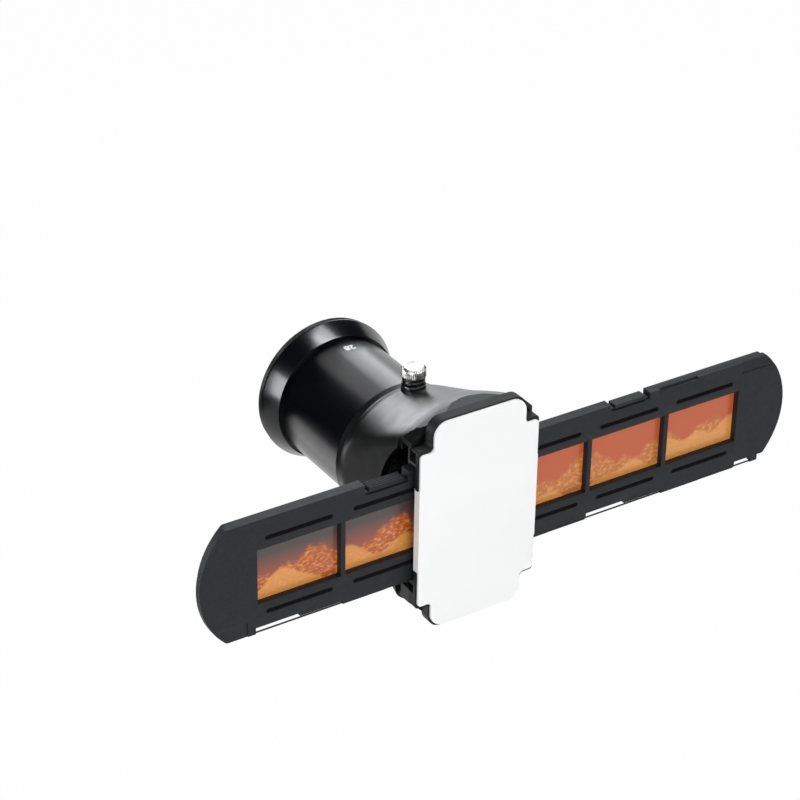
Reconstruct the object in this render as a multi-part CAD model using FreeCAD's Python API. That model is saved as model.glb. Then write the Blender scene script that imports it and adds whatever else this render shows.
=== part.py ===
import FreeCAD, Part
import math
import os

# Slide duplicator for filming 35 mm strips through a close-up lens.
# Millimetres.  Origin: the shoulder that seats on the lens, on the optical axis.
# +Y runs along the optical axis towards the lens, +X to the right, +Z up.

V = FreeCAD.Vector
AXIS_X = V(1, 0, 0)
AXIS_Y = V(0, 1, 0)
AXIS_Z = V(0, 0, 1)

# ---- driving dimensions -------------------------------------------------
# film format
frame_pitch = 38.0
frame_width = 36.0
frame_height = 24.0
frame_count = 6
film_width = 35.0
film_thick = 0.2
gate_frame_number = 3

# lens side
thread_r = 31.0
thread_length = 3.0
ring_length = 8.7
ring_rear_r = 31.5
ring_front_r = 28.3
tube_r = 26.95
tube_wall = 1.5

# distance from the lens shoulder to the front face of the film holder
film_face = 106.7

# socket, sleeve and hood: places are measured from the holder's front face
socket_rear = 52.35
socket_r = 28.7
sleeve_clear = 0.05
sleeve_wall = 0.45
sleeve_front = 37.2
socket_ring_wall = 1.1
tube_end = 31.0
stop_lip = 0.4
collar_length = 3.0
hood_front = -0.5
bell_front_r = 48.1
bell_box_r = 45.85
bell_belly_place = 18.9
bell_belly_r = 40.6
bell_throat_place = 44.0
bell_throat_r = 31.6
hood_half_width = 28.6
hood_wall = 2.0

# the gate box: a prism with cut corners that trims the front of the hood
gate_box_depth = 7.4
gate_half_width = 27.5
gate_half_height = 46.5
gate_top_cut = 9.4
gate_bottom_cut = 11.7
bulkhead_front = 7.2
bulkhead_rear = 8.2

# side openings that the holder passes through
slot_top = 34.7
slot_bottom = -28.5
slot_front = -3.7
slot_rear = 5.5
arch_centre = -23.3
arch_r = 44.2

# stepped outline shared by the gate frame and the diffuser
frame_lip = 0.7
frame_ledge = 1.3
plate_narrow = 20.8
plate_half_height = 45.9
plate_wide = 26.9
plate_step = 34.0
plate_corner = 6.0
plate_inner_corner = 2.0
plate_front = -6.1
plate_thick = 1.0
clip_half_length = 18.5
clip_reach = 2.5
clip_wall = 0.95
clip_outside = 27.15
gate_frame_thick = 1.5

# film holder
holder_half_height = 25.0
holder_end_r = 34.0
holder_length = 274.6
rear_leaf_inset = 1.2
front_leaf = 2.8
rear_leaf = 1.8
perf_slot_z = 16.3
perf_slot_half_length = 14.5
perf_slot_height = 1.9

# hinge along the lower edge of the holder
pin_r = 0.35
knuckle_r = 0.65
pin_y = 0.95
pin_z = -24.85
knuckle_gap = 0.4
pin_left = -96.7
pin_right = 145.4

# lock screw
screw_place = 40.8
stud_r = 2.0
tip_r = 1.0
pad_r = 2.2
pad_top = 29.4
thread_pitch = 0.7
screw_turns = 2.0
knob_r = 4.95
knob_ridges = 30

holder_centre = (frame_count + 1) / 2.0 * frame_pitch - gate_frame_number * frame_pitch


def place(depth):
    """Y of a point that lies `depth` behind the holder's front face."""
    return depth - film_face


def frame_x(number):
    """X of the centre of a film frame."""
    return (number - gate_frame_number) * frame_pitch


def box(x0, x1, y0, y1, z0, z1):
    return Part.makeBox(x1 - x0, y1 - y0, z1 - z0, V(x0, y0, z0))


def rod(radius, start, end):
    """Round bar between two points."""
    return Part.makeCylinder(radius, (end - start).Length, start, end - start)


def tube(outer, inner, y0, y1):
    """Round tube on the optical axis."""
    solid = rod(outer, V(0, y0, 0), V(0, y1, 0))
    return solid.cut(rod(inner, V(0, y0 - 1, 0), V(0, y1 + 1, 0)))


def revolve(profile):
    """Solid of revolution about the optical axis from (radius, y) points."""
    points = [V(radius, y, 0) for radius, y in profile]
    face = Part.Face(Part.makePolygon(points + points[:1]))
    return face.revolve(V(0, 0, 0), AXIS_Y, 360)


def prism(points, y0, y1):
    """Extrude a closed outline of (x, z) points along Y."""
    outline = [V(x, y0, z) for x, z in points]
    face = Part.Face(Part.makePolygon(outline + outline[:1]))
    return face.extrude(V(0, y1 - y0, 0))


def rounded_window(x, z, width, height, radius, y0, y1):
    """Straight-walled window with round corners, cut along Y."""
    solid = box(x - width / 2, x + width / 2, y0, y1, z - height / 2, z + height / 2)
    edges = [e for e in solid.Edges if abs(e.tangentAt(e.FirstParameter).y) > 0.9]
    return solid.makeFillet(radius, edges)


def long_slot(x, z, half_length, height, y0, y1):
    """Slot with half-round ends, cut along Y."""
    r = height / 2
    ends = [rod(r, V(x + end, y0, z), V(x + end, y1, z))
            for end in (r - half_length, half_length - r)]
    middle = box(x + r - half_length, x + half_length - r, y0, y1, z - r, z + r)
    return middle.fuse(ends).removeSplitter()


def save(shape, name):
    shape.exportStep("parts/" + name + ".step")
    return shape


# ---- lens side ------------------------------------------------------------
def adapter_ring():
    """Cone with the lens thread behind and a recess for the retaining ring in front."""
    rim = 0.8
    profile = [
        (tube_r, thread_length),
        (thread_r, thread_length),
        (thread_r, 0),
        (ring_rear_r, 0),
        (ring_rear_r - 0.1, -rim),
        (ring_front_r, 0.6 - ring_length),
        (ring_front_r - 0.3, -ring_length),
        (tube_r + 0.95, -ring_length),
        (tube_r + 0.95, -ring_length + 2.4),
        (tube_r, -ring_length + 2.4),
    ]
    return revolve(profile)


def retaining_ring():
    """Ring sunk in the mouth of the adapter that holds the drawtube in it."""
    deep = -ring_length + 2.4
    shape = tube(tube_r + 0.95, tube_r, deep - 1.1, deep)
    for angle in (90, 270):
        spanner_slot = box(tube_r - 1, tube_r + 2, deep - 2, deep - 0.6, -0.5, 0.5)
        spanner_slot.rotate(V(0, 0, 0), AXIS_Y, angle)
        shape = shape.cut(spanner_slot)
    return shape


def drawtube():
    """Thin tube pressed into the adapter ring, with a stop lip at its front end."""
    front = place(tube_end)
    rear = thread_length - 0.5
    profile = [
        (tube_r - tube_wall, rear),
        (tube_r, rear),
        (tube_r, front + 1.2),
        (tube_r + stop_lip, front + 1.2),
        (tube_r + stop_lip, front),
        (tube_r - tube_wall, front),
    ]
    return revolve(profile)


# ---- socket fittings -------------------------------------------------------
def friction_sleeve():
    """Split bush between the drawtube and the socket."""
    inner = tube_r + sleeve_clear
    y0 = place(sleeve_front)
    y1 = place(socket_rear - 1.35)
    split = box(-0.6, 0.6, y0 - 1, y1 + 1, -30, -20)
    return tube(inner + sleeve_wall, inner, y0, y1).cut(split)


def socket_ring():
    """Chamfered ring in the mouth of the socket that keeps the sleeve in."""
    inner = tube_r + 0.25
    outer = tube_r + socket_ring_wall
    front = place(socket_rear - 1.25)
    rear = place(socket_rear + 0.5)
    return revolve([(inner, front), (outer, front), (outer, rear - 0.4),
                    (outer - 0.4, rear), (inner, rear)])


# ---- hood -------------------------------------------------------------------
def bell(inset):
    """Round flare from the socket to the mouth: a short throat, a long cone and a fuller belly."""
    throat = place(socket_rear - collar_length)
    front = place(hood_front)
    return revolve([(0, front), (bell_front_r - inset, front),
                    (bell_box_r - inset, place(gate_box_depth)),
                    (bell_belly_r - inset, place(bell_belly_place)),
                    (bell_throat_r - inset, place(bell_throat_place)),
                    (socket_r - inset, throat), (0, throat)])


def flare(inset):
    """Bell cut flat at both sides."""
    w = hood_half_width - inset
    h = gate_half_height - inset
    sides = box(-w, w, place(hood_front) - 1, place(socket_rear), -h, h)
    return bell(inset * 1.08).common(sides)


def gate_prism(inset, y0, y1):
    """Prism of the gate box: flat sides and 45-degree corners, larger cuts below."""
    w = gate_half_width - inset
    h = gate_half_height - inset
    slant = inset * (2 - math.sqrt(2))
    top = gate_top_cut - slant
    low = gate_bottom_cut - slant
    return prism([(top - w, h), (w - top, h), (w, h - top), (w, low - h),
                  (w - low, -h), (low - w, -h), (-w, low - h), (-w, h - top)], y0, y1)


def hood_outside():
    """Round socket that flares into the tall gate box."""
    y_collar = place(socket_rear - collar_length)
    collar = rod(socket_r, V(0, y_collar - 1, 0), V(0, place(socket_rear), 0))
    skin = flare(0.0)
    y_box = place(gate_box_depth)
    front = skin.common(gate_prism(0.0, place(hood_front) - 1, y_box))
    rear = skin.cut(box(-60, 60, place(hood_front) - 1, y_box, -60, 60))
    return collar.fuse([front, rear])


def hood_inside():
    """Bore for the sleeve and the drawtube, and the space behind the gate."""
    bore_r = tube_r + 2 * sleeve_clear + sleeve_wall
    end = place(socket_rear) + 1
    bore = rod(bore_r, V(0, place(10.5), 0), V(0, end, 0))
    mouth = rod(tube_r + socket_ring_wall, V(0, place(socket_rear - 1.25), 0), V(0, end, 0))
    space = flare(hood_wall)
    space = space.common(gate_prism(hood_wall, place(hood_front) - 1, place(sleeve_front - 1.5)))
    return bore.fuse([mouth, space])


def side_opening(sign):
    """Slot for the holder that runs back in a tall arch, open to one side."""
    low, high = sorted((15.0 * sign, 40.0 * sign))
    slot = box(low, high, place(slot_front), place(slot_rear), slot_bottom, slot_top)
    arch = Part.makeCylinder(arch_r, high - low, V(low, place(arch_centre), 0), AXIS_X)
    window = box(low, high, place(slot_rear), place(30), -slot_top, slot_top)
    return slot.fuse(arch.common(window))


def bulkhead():
    """Wall inside the hood that the aperture plate is screwed to."""
    y0 = place(bulkhead_front)
    y1 = place(bulkhead_rear)
    opening = box(-30, 30, y0 - 1, y1 + 1, -30.5, 30.5)
    return box(-27, 27, y0, y1, -44, 44).cut(opening)


def housing():
    """Moulded hood: socket behind, gate box in front, seat for the lock screw."""
    outside = hood_outside()
    y = place(screw_place)
    seat = rod(5.0, V(0, y, 24), V(0, y, 33.4))
    shape = outside.fuse(seat).cut(hood_inside())
    shape = shape.cut(rod(5.0, V(0, y, 33.4), V(0, y, 36)))
    inner_parts = [bulkhead().common(outside)]
    for x, z in frame_screw_places():
        boss = rod(2.4, V(x, place(hood_front), z), V(x, place(6.0), z))
        inner_parts.append(boss.common(outside))
    shape = shape.fuse(inner_parts)
    cuts = [side_opening(-1), side_opening(1)]
    recess = pad_top + thread_pitch * screw_turns + 0.5
    cuts.append(rod(pad_r + 0.1, V(0, y, 24), V(0, y, recess)))
    cuts.append(rod(3.2, V(0, y, recess), V(0, y, 34)))
    for x, z in aperture_screw_places():
        cuts.append(rod(0.8, V(x, place(bulkhead_front - 1), z), V(x, place(9), z)))
    for x, z in frame_screw_places():
        cuts.append(rod(0.9, V(x, place(hood_front) - 1, z), V(x, place(5.0), z)))
    return shape.cut(cuts).removeSplitter()


# ---- gate ------------------------------------------------------------------
def frame_screw_places():
    return [(x, z) for x in (-14.5, 14.5) for z in (-41.0, 41.0)]


def aperture_screw_places():
    return [(x, z) for x in (-17.5, 17.5) for z in (-34.5, 34.5)]


def stepped_outline(lip, step_lip, y0, y1):
    """Tall plate that is wider over its middle, with rounded outer and inner corners."""
    n = plate_narrow + lip
    w = plate_wide + lip
    h = plate_half_height + lip
    s = plate_step + step_lip
    tall = rounded_window(0, 0, 2 * n, 2 * h, plate_corner, y0, y1)
    wide = rounded_window(0, 0, 2 * w, 2 * s, 1.5, y0, y1)
    shape = tall.fuse(wide).removeSplitter()
    inner = [e for e in shape.Edges
             if abs(e.tangentAt(e.FirstParameter).y) > 0.9
             and abs(abs(e.Vertexes[0].X) - n) < 0.01
             and abs(abs(e.Vertexes[0].Z) - s) < 0.01]
    return shape.makeFillet(plate_inner_corner, inner)


def gate_frame():
    """Front frame: stepped plate with the light window, thick where it meets the hood."""
    front = place(plate_front + plate_thick)
    rear = place(hood_front)
    floor = front + gate_frame_thick
    shape = stepped_outline(frame_lip, frame_ledge, front, rear)
    w = plate_wide + frame_lip
    cuts = [box(-25.4, 25.4, floor, rear + 1, -34.2, 34.2)]
    for sign in (-1, 1):
        low, high = sorted((sign * 25.3, sign * (w + 1)))
        cuts.append(box(low, high, floor, rear + 1, slot_bottom, 34.2))
        low, high = sorted((sign * (clip_outside - clip_wall), sign * (w + 1)))
        cuts.append(box(low, high, front - 1, rear + 1,
                        -clip_half_length, clip_half_length))
    cuts.append(rounded_window(0, 0, 42, 30, 2, front - 1, floor + 1))
    for x, z in frame_screw_places():
        cuts.append(rod(1.1, V(x, front - 1, z), V(x, rear + 1, z)))
        cuts.append(Part.makeCone(2.1, 1.1, 1.0, V(x, front, z), AXIS_Y))
    return shape.cut(cuts)


def guide_rail(side):
    """Grooved rail that one long edge of the holder runs in."""
    y0 = place(plate_front + plate_thick + gate_frame_thick)
    clear = 0.25
    edge = holder_half_height + clear
    if side < 0:
        edge = knuckle_r - pin_z + clear
    web = box(-25.3, 25.3, y0, place(-clear), 19.5, edge + 2.0)
    lip = box(-25.3, 25.3, y0, place(front_leaf + rear_leaf + clear), edge, edge + 2.0)
    rail = web.fuse(lip).removeSplitter()
    lead_in = [e for e in rail.Edges
               if abs(abs(e.CenterOfMass.x) - 25.3) < 0.01
               and (abs(e.CenterOfMass.z - edge) < 0.01
                    or abs(e.CenterOfMass.y - place(-clear)) < 0.01)]
    rail = rail.makeChamfer(0.8, lead_in)
    return rail if side > 0 else rail.mirror(V(0, 0, 0), AXIS_Z)


def aperture_plate():
    """Rear mask of the gate with the picture aperture."""
    y0 = place(6.0)
    y1 = place(bulkhead_front)
    w, h, c = 24.0, 37.0, 5.5
    shape = prism([(c - w, h), (w - c, h), (w, h - c), (w, c - h),
                   (w - c, -h), (c - w, -h), (-w, c - h), (-w, h - c)], y0, y1)
    cuts = [rounded_window(0, 0, frame_width + 2, frame_height + 3, 1.5, y0 - 1, y1 + 1)]
    for x, z in aperture_screw_places():
        cuts.append(rod(1.0, V(x, y0 - 1, z), V(x, y1 + 1, z)))
    return shape.cut(cuts)


def pressure_spring(side):
    """Bowed leaf that presses one long edge of the holder against its rail."""
    thick = 0.25
    high = place(front_leaf + rear_leaf + 0.15)
    low = place(6.0) - thick
    half = 17.0
    outer = Part.Arc(V(-half, low, 0), V(0, high, 0), V(half, low, 0))
    inner = Part.Arc(V(half, low + thick, 0), V(0, high + thick, 0), V(-half, low + thick, 0))
    outline = Part.Wire([
        outer.toShape(),
        Part.makeLine(V(half, low, 0), V(half + 3, low, 0)),
        Part.makeLine(V(half + 3, low, 0), V(half + 3, low + thick, 0)),
        Part.makeLine(V(half + 3, low + thick, 0), V(half, low + thick, 0)),
        inner.toShape(),
        Part.makeLine(V(-half, low + thick, 0), V(-half - 3, low + thick, 0)),
        Part.makeLine(V(-half - 3, low + thick, 0), V(-half - 3, low, 0)),
        Part.makeLine(V(-half - 3, low, 0), V(-half, low, 0)),
    ])
    leaf = Part.Face(outline).extrude(V(0, 0, 4.0))
    leaf.translate(V(0, 0, side * 20.0 - 2.0))
    return leaf


def csk_screw(x, z, y_head, head_r, shank_r, length):
    """Countersunk screw with its head at `y_head`, pointing towards the lens."""
    head = Part.makeCone(head_r, shank_r, 1.0, V(x, y_head, z), AXIS_Y)
    shank = rod(shank_r, V(x, y_head + 1.0, z), V(x, y_head + length, z))
    slot = box(x - 0.25, x + 0.25, y_head - 1, y_head + 0.5, z - 3, z + 3)
    return head.fuse(shank).cut(slot)


def frame_screws():
    """Four countersunk screws that hold the gate frame to the hood."""
    front = place(plate_front + plate_thick)
    return Part.Compound([csk_screw(x, z, front, 2.1, 0.9, 9.0)
                          for x, z in frame_screw_places()])


def aperture_screws():
    """Four cheese-head screws that hold the aperture plate."""
    screws = []
    for x, z in aperture_screw_places():
        head = rod(1.6, V(x, place(5.1), z), V(x, place(6.0), z))
        head = head.cut(box(x - 1.7, x + 1.7, place(4.9), place(5.5), z - 0.25, z + 0.25))
        screws.append(head.fuse(rod(0.8, V(x, place(6.0), z), V(x, place(8.0), z))))
    return Part.Compound(screws)


def diffuser():
    """Opal plate with a clip along each long side."""
    y0 = place(plate_front)
    y1 = y0 + plate_thick
    shape = stepped_outline(0.0, 0.0, y0, y1)
    for sign in (-1, 1):
        low, high = sorted((sign * (plate_wide - 1.0), sign * clip_outside))
        face = box(low, high, y0, y1, -clip_half_length, clip_half_length)
        low, high = sorted((sign * (clip_outside - clip_wall + 0.05), sign * clip_outside))
        tab = box(low, high, y0, y1 + clip_reach, -clip_half_length, clip_half_length)
        shape = shape.fuse([face, tab])
    return shape.removeSplitter()


# ---- film holder -------------------------------------------------------------
def holder_blank(inset, y0, y1):
    """Long strip with bowed ends."""
    h = holder_half_height
    reach = math.sqrt(holder_end_r ** 2 - h ** 2)
    end_centre = holder_length / 2 - inset - holder_end_r
    x0 = holder_centre - end_centre
    x1 = holder_centre + end_centre
    right = Part.Arc(V(x1 + reach, y0, h), V(x1 + holder_end_r, y0, 0), V(x1 + reach, y0, -h))
    left = Part.Arc(V(x0 - reach, y0, -h), V(x0 - holder_end_r, y0, 0), V(x0 - reach, y0, h))
    outline = Part.Wire([
        Part.makeLine(V(x0 - reach, y0, h), V(x1 + reach, y0, h)),
        right.toShape(),
        Part.makeLine(V(x1 + reach, y0, -h), V(x0 - reach, y0, -h)),
        left.toShape(),
    ])
    solid = Part.Face(outline).extrude(V(0, y1 - y0, 0))
    corners = [e for e in solid.Edges
               if abs(e.tangentAt(e.FirstParameter).y) > 0.9]
    return solid.makeFillet(2.0, corners)


def picture_windows(y0, y1):
    """Six picture windows."""
    return [box(x - frame_width / 2, x + frame_width / 2, y0, y1,
                -frame_height / 2, frame_height / 2)
            for x in map(frame_x, range(1, frame_count + 1))]


def perforation_slots(y0, y1):
    """Narrow slots above and below every picture window."""
    return [long_slot(frame_x(number), side * perf_slot_z, perf_slot_half_length,
                      perf_slot_height, y0, y1)
            for number in range(1, frame_count + 1) for side in (-1, 1)]


def hinge_starts(leaf):
    """Left ends of the knuckles that belong to one leaf."""
    half = frame_pitch / 2
    pairs = [frame_x(number) for number in (2, 4, 6)]
    return [x - half if leaf == "front" else x for x in pairs]


def barrel(start, length, web_y0, web_y1, web_top):
    """Hinge barrel on the pin's axis with the web that joins it to a leaf."""
    y = place(pin_y)
    shape = rod(knuckle_r, V(start, y, pin_z), V(start + length, y, pin_z))
    shape = shape.fuse(box(start, start + length, web_y0, web_y1, pin_z, web_top))
    return shape.cut(rod(pin_r, V(start - 1, y, pin_z), V(start + length + 1, y, pin_z)))


def knuckles(leaf):
    """The three barrels of one leaf."""
    length = frame_pitch / 2 - knuckle_gap
    if leaf == "front":
        web = (place(pin_y) - knuckle_r, place(pin_y) + knuckle_r, -23.0)
    else:
        web = (place(pin_y), place(front_leaf + rear_leaf), -24.2)
    return [barrel(x + knuckle_gap / 2, length, *web) for x in hinge_starts(leaf)]


def pin_eyes():
    """Blocks at the two ends of the hinge pin."""
    y0 = place(0)
    y1 = place(front_leaf)
    return [barrel(pin_left, 1.5, y0, y1, -23.0),
            barrel(pin_right - 3.4, 3.4, y0 + 0.3, y1, -22.0)]


def hinge_pin():
    """Thin rod through all the knuckles."""
    return rod(pin_r, V(pin_left, place(pin_y), pin_z), V(pin_right, place(pin_y), pin_z))


def lower_edge_cuts(y0, y1):
    """Reliefs along the lower edge where the pin lies bare or a rear knuckle passes."""
    half = frame_pitch / 2
    low = -holder_half_height - 1
    cuts = []
    for number in (1, 5):
        x = frame_x(number)
        cuts.append(box(x - half, x, y0, y1, low, -22.3))
        cuts.append(box(x, x + half, y0, y1, low, -23.6))
    cuts.append(box(frame_x(3) - half, frame_x(3) + half, y0, y1, low, -23.6))
    cuts.append(box(frame_x(6) + half, 170, y0, y1, low, -22.3))
    return cuts


def knuckle_pockets(leaf, y0, y1):
    """Room in one leaf for the barrels of the other."""
    half = frame_pitch / 2
    return [box(x, x + half, y0, y1, -holder_half_height - 1, -24.0)
            for x in hinge_starts(leaf)]


def latch_places():
    """Centres of the two catches on the upper edge."""
    return frame_x(2), frame_x(5)


def holder_front():
    """Front leaf: windows, perforation slots, catch notches and half of the hinge."""
    y0 = place(0)
    y1 = place(front_leaf)
    shape = holder_blank(0.0, y0, y1)
    cuts = picture_windows(y0 - 1, y1 + 1)
    cuts += perforation_slots(y0 - 1, y1 + 1)
    cuts += lower_edge_cuts(y0 - 1, y1 + 1)
    cuts += knuckle_pockets("rear", y0 - 1, y1 + 1)
    left, right = latch_places()
    top = holder_half_height + 1
    cuts.append(box(left - 9.6, left + 9.6, y0 - 1, y1 + 1, 20.4, top))
    cuts.append(box(right - 9.6, right + 9.6, y0 - 1, y1 + 1, 22.0, top))
    cuts.append(box(right + 14.5, frame_x(6) - 4.0, y0 - 1, y0 + 1.2, 23.9, top))
    h = holder_half_height
    cuts.append(box(-130, frame_x(1) - 22.4, y0 - 1, y0 + 0.4, -h - 1, -18.5))
    cuts.append(box(frame_x(6) + 19.0, 170, y0 - 1, y0 + 0.4, 19.8, h + 1))
    shape = shape.cut(cuts)
    shape = shape.fuse(knuckles("front") + pin_eyes()).removeSplitter()
    return shape.cut(hinge_pin())


def holder_rear():
    """Rear leaf: film channel, windows and the other half of the hinge."""
    y0 = place(front_leaf)
    y1 = place(front_leaf + rear_leaf)
    shape = holder_blank(rear_leaf_inset, y0, y1)
    x0 = frame_x(1) - frame_pitch / 2 - 0.4
    x1 = frame_x(6) + frame_pitch / 2 + 0.4
    channel = film_width / 2 + 0.2
    cuts = [box(x0, x1, y0 - 1, y0 + film_thick + 0.05, -channel, channel)]
    cuts += picture_windows(y0 - 1, y1 + 1)
    cuts += lower_edge_cuts(y0 - 1, y1 + 1)
    left, right = latch_places()
    cuts.append(box(left - 9.6, left + 9.6, y0 - 1, y1 + 1, 20.4, 26))
    cuts.append(box(right - 9.6, right + 9.6, y0 - 1, y1 + 1, 22.0, 26))
    shape = shape.cut(cuts)
    return shape.fuse(knuckles("rear")).removeSplitter()


def latch(x, bottom, top, ribbed):
    """Catch block set in the upper edges of both leaves."""
    y0 = place(0.0)
    y1 = place(front_leaf + rear_leaf)
    half = 7.6
    shape = box(x - half, x + half, y0, y1, bottom + 1.0, top)
    foot = box(x - 9.6, x + 9.6, y0 + 0.8, y1 - 0.8, bottom, bottom + 1.0)
    shape = shape.fuse(foot)
    if ribbed:
        for step in range(4):
            y = y0 + 0.5 + step * 1.05
            shape = shape.cut(box(x - half - 1, x + half + 1, y, y + 0.5, top - 0.4, top + 1))
    return shape.removeSplitter()


def film_strip():
    """Strip of six negatives lying in the channel."""
    x0 = frame_x(1) - frame_pitch / 2
    x1 = frame_x(6) + frame_pitch / 2
    y0 = place(front_leaf) + 0.03
    return box(x0, x1, y0, y0 + film_thick, -film_width / 2, film_width / 2)


# ---- lock screw ----------------------------------------------------------------
def upright(profile):
    """Solid of revolution about the lock screw's axis from (radius, z) points."""
    y = place(screw_place)
    points = [V(radius, y, z) for radius, z in profile]
    face = Part.Face(Part.makePolygon(points + points[:1]))
    return face.revolve(V(0, y, 0), AXIS_Z, 360)


def screw_bush():
    """Threaded bush pressed into the pedestal."""
    bore = stud_r + 0.05
    foot = pad_top + thread_pitch * screw_turns + 0.5
    return upright([(bore, foot), (3.2, foot), (3.2, 33.4), (4.9, 33.4),
                    (4.9, 35.0), (4.5, 35.4), (bore, 35.4)])


def pressure_pad():
    """Cup on the end of the stud that bears on the sleeve."""
    return upright([(0, 27.55), (pad_r, 27.55), (pad_r, pad_top), (tip_r + 0.05, pad_top),
                    (tip_r + 0.05, 28.2), (0, 28.2)])


def screw_stud():
    """Steel stud with a turned tip."""
    return upright([(0, 28.25), (tip_r, 28.25), (tip_r, pad_top + 0.1), (stud_r, pad_top + 0.5),
                    (stud_r, 40.5), (0, 40.5)])


def screw_collar():
    """Black collar under the head."""
    return upright([(stud_r, 35.7), (4.2, 35.7), (4.6, 36.1), (4.6, 38.7), (stud_r, 38.7)])


def screw_head():
    """Knurled cap with a chamfered top."""
    bottom = 38.7
    shoulder = 41.7
    top = 42.6
    y = place(screw_place)
    ridges = []
    for number in range(2 * knob_ridges):
        turn = math.pi * number / knob_ridges
        radius = knob_r - 0.25 * (number % 2)
        ridges.append(V(radius * math.cos(turn), y + radius * math.sin(turn), bottom))
    face = Part.Face(Part.makePolygon(ridges + ridges[:1]))
    barrel_part = face.extrude(V(0, 0, shoulder - bottom))
    crown = Part.makeCone(knob_r - 0.3, knob_r - 1.1, top - shoulder, V(0, y, shoulder), AXIS_Z)
    shape = barrel_part.fuse(crown)
    return shape.cut(rod(stud_r, V(0, y, bottom - 1), V(0, y, 40.5)))


def main():
    os.makedirs("parts", exist_ok=True)
    save(adapter_ring(), "adapter_ring")
    save(retaining_ring(), "retaining_ring")
    save(drawtube(), "drawtube")
    save(friction_sleeve(), "friction_sleeve")
    save(socket_ring(), "socket_ring")
    save(housing(), "housing")
    save(gate_frame(), "gate_frame")
    save(frame_screws(), "frame_screws")
    save(guide_rail(1), "guide_rail_upper")
    save(guide_rail(-1), "guide_rail_lower")
    save(aperture_plate(), "aperture_plate")
    save(aperture_screws(), "aperture_screws")
    save(pressure_spring(1), "pressure_spring_upper")
    save(pressure_spring(-1), "pressure_spring_lower")
    save(diffuser(), "diffuser")
    save(holder_front(), "holder_front_leaf")
    save(holder_rear(), "holder_rear_leaf")
    save(hinge_pin(), "hinge_pin")
    left, right = latch_places()
    save(latch(left, 20.4, 23.4, True), "latch_left")
    save(latch(right, 22.0, 24.4, False), "latch_right")
    save(film_strip(), "film_strip")
    save(screw_bush(), "screw_bush")
    save(screw_stud(), "screw_stud")
    save(screw_collar(), "screw_collar")
    save(screw_head(), "screw_head")
    save(pressure_pad(), "pressure_pad")


main()
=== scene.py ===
import math

import bpy
from bpy.props import (
    FloatProperty, FloatVectorProperty, IntProperty, PointerProperty, StringProperty)
from mathutils import Matrix, Vector


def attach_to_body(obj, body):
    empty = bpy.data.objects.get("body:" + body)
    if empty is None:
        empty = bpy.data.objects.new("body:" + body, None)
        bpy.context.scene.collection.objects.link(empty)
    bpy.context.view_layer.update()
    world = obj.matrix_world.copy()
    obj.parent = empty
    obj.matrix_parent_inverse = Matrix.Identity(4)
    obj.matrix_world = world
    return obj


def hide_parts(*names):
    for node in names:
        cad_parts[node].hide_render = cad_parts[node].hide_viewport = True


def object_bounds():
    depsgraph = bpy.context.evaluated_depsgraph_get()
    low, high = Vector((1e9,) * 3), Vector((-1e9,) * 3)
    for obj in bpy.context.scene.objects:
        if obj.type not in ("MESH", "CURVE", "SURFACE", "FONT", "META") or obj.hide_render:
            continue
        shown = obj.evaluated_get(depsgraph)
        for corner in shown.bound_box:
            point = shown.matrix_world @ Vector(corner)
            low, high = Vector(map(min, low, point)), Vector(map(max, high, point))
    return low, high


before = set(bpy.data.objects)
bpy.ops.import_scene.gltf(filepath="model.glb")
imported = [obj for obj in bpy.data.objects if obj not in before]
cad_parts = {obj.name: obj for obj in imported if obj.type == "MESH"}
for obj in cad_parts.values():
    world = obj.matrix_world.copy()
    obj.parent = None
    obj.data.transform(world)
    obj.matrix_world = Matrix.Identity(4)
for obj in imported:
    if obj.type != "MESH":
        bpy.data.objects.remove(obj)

bl_info = {
    "name": "Slide Duplicator",
    "version": (1, 0, 0),
    "blender": (4, 5, 0),
    "location": "View3D > Sidebar > Duplicator",
    "description": "Dresses the slide duplicator: drawtube, hood, gate, film holder and lock screw",
    "category": "Object",
}

CAD_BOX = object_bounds()
MM = 0.001

# Driving places and sizes in millimetres. Y runs along the optical axis from the lens's shoulder,
# and X runs along the film from the picture that is in the gate.
FILM_FACE = -106.7
SCREW_Y = FILM_FACE + 40.8
TUBE_R = 26.95
FRAME_PITCH = 38.0
STRIP_LEFT = -2.5 * FRAME_PITCH
PICTURE_WIDTH = 36.0
PICTURE_HEIGHT = 24.0
PERFORATION_PITCH = 4.75

# Middle of the object in metres, which lamps and cards face.
MIDDLE = (0.0, -0.06, 0.0)

# Softboxes: name, place, size and power.
LAMPS = (
    ("softbox_top", (0.12, 0.05, 1.1), (0.5, 0.4), 6.0),
    ("softbox_left", (-1.05, 0.0, 0.2), (0.4, 0.4), 2.0),
    ("softbox_front", (-0.35, -1.2, 0.45), (0.9, 0.7), 8.8),
)

# Lit cards: name, place, the point that they face, size and glow.
CARDS = (
    ("card_top", (0.3, 0.08, 1.1), MIDDLE, (0.7, 0.5), 16.0),
    ("card_left", (-0.6, 0.0, 0.085), MIDDLE, (0.34, 0.31), 19.0),
    ("card_low", (0.19, 1.15, 0.15), (0.19, 0.0, 0.15), (0.36, 0.34), 6.5),
    ("card_low_right", (0.84, 1.15, 0.21), (0.84, 0.0, 0.21), (0.84, 0.48), 3.0),
    ("card_high", (0.94, 1.15, 0.8), (0.94, 0.0, 0.8), (0.64, 0.7), 1.9),
    ("card_ramp", (0.37, 1.15, 0.97), (0.37, 0.0, 0.97), (0.5, 0.36), 0.9),
)

# Black cards: name, place, the point that they face and size.
FLAGS = (
    ("flag_canopy", (0.0, 0.9, 1.4), (0.0, 0.9, 0.0), (4.6, 2.8)),
    ("flag_rear", (-1.03, 1.2, 0.45), (-0.6, 0.0, 0.3), (2.06, 1.9)),
    ("flag_side", (-1.5, 0.5, 1.15), MIDDLE, (1.6, 1.0)),
    ("flag_right", (1.55, 0.55, 0.9), MIDDLE, (1.5, 1.2)),
)


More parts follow.
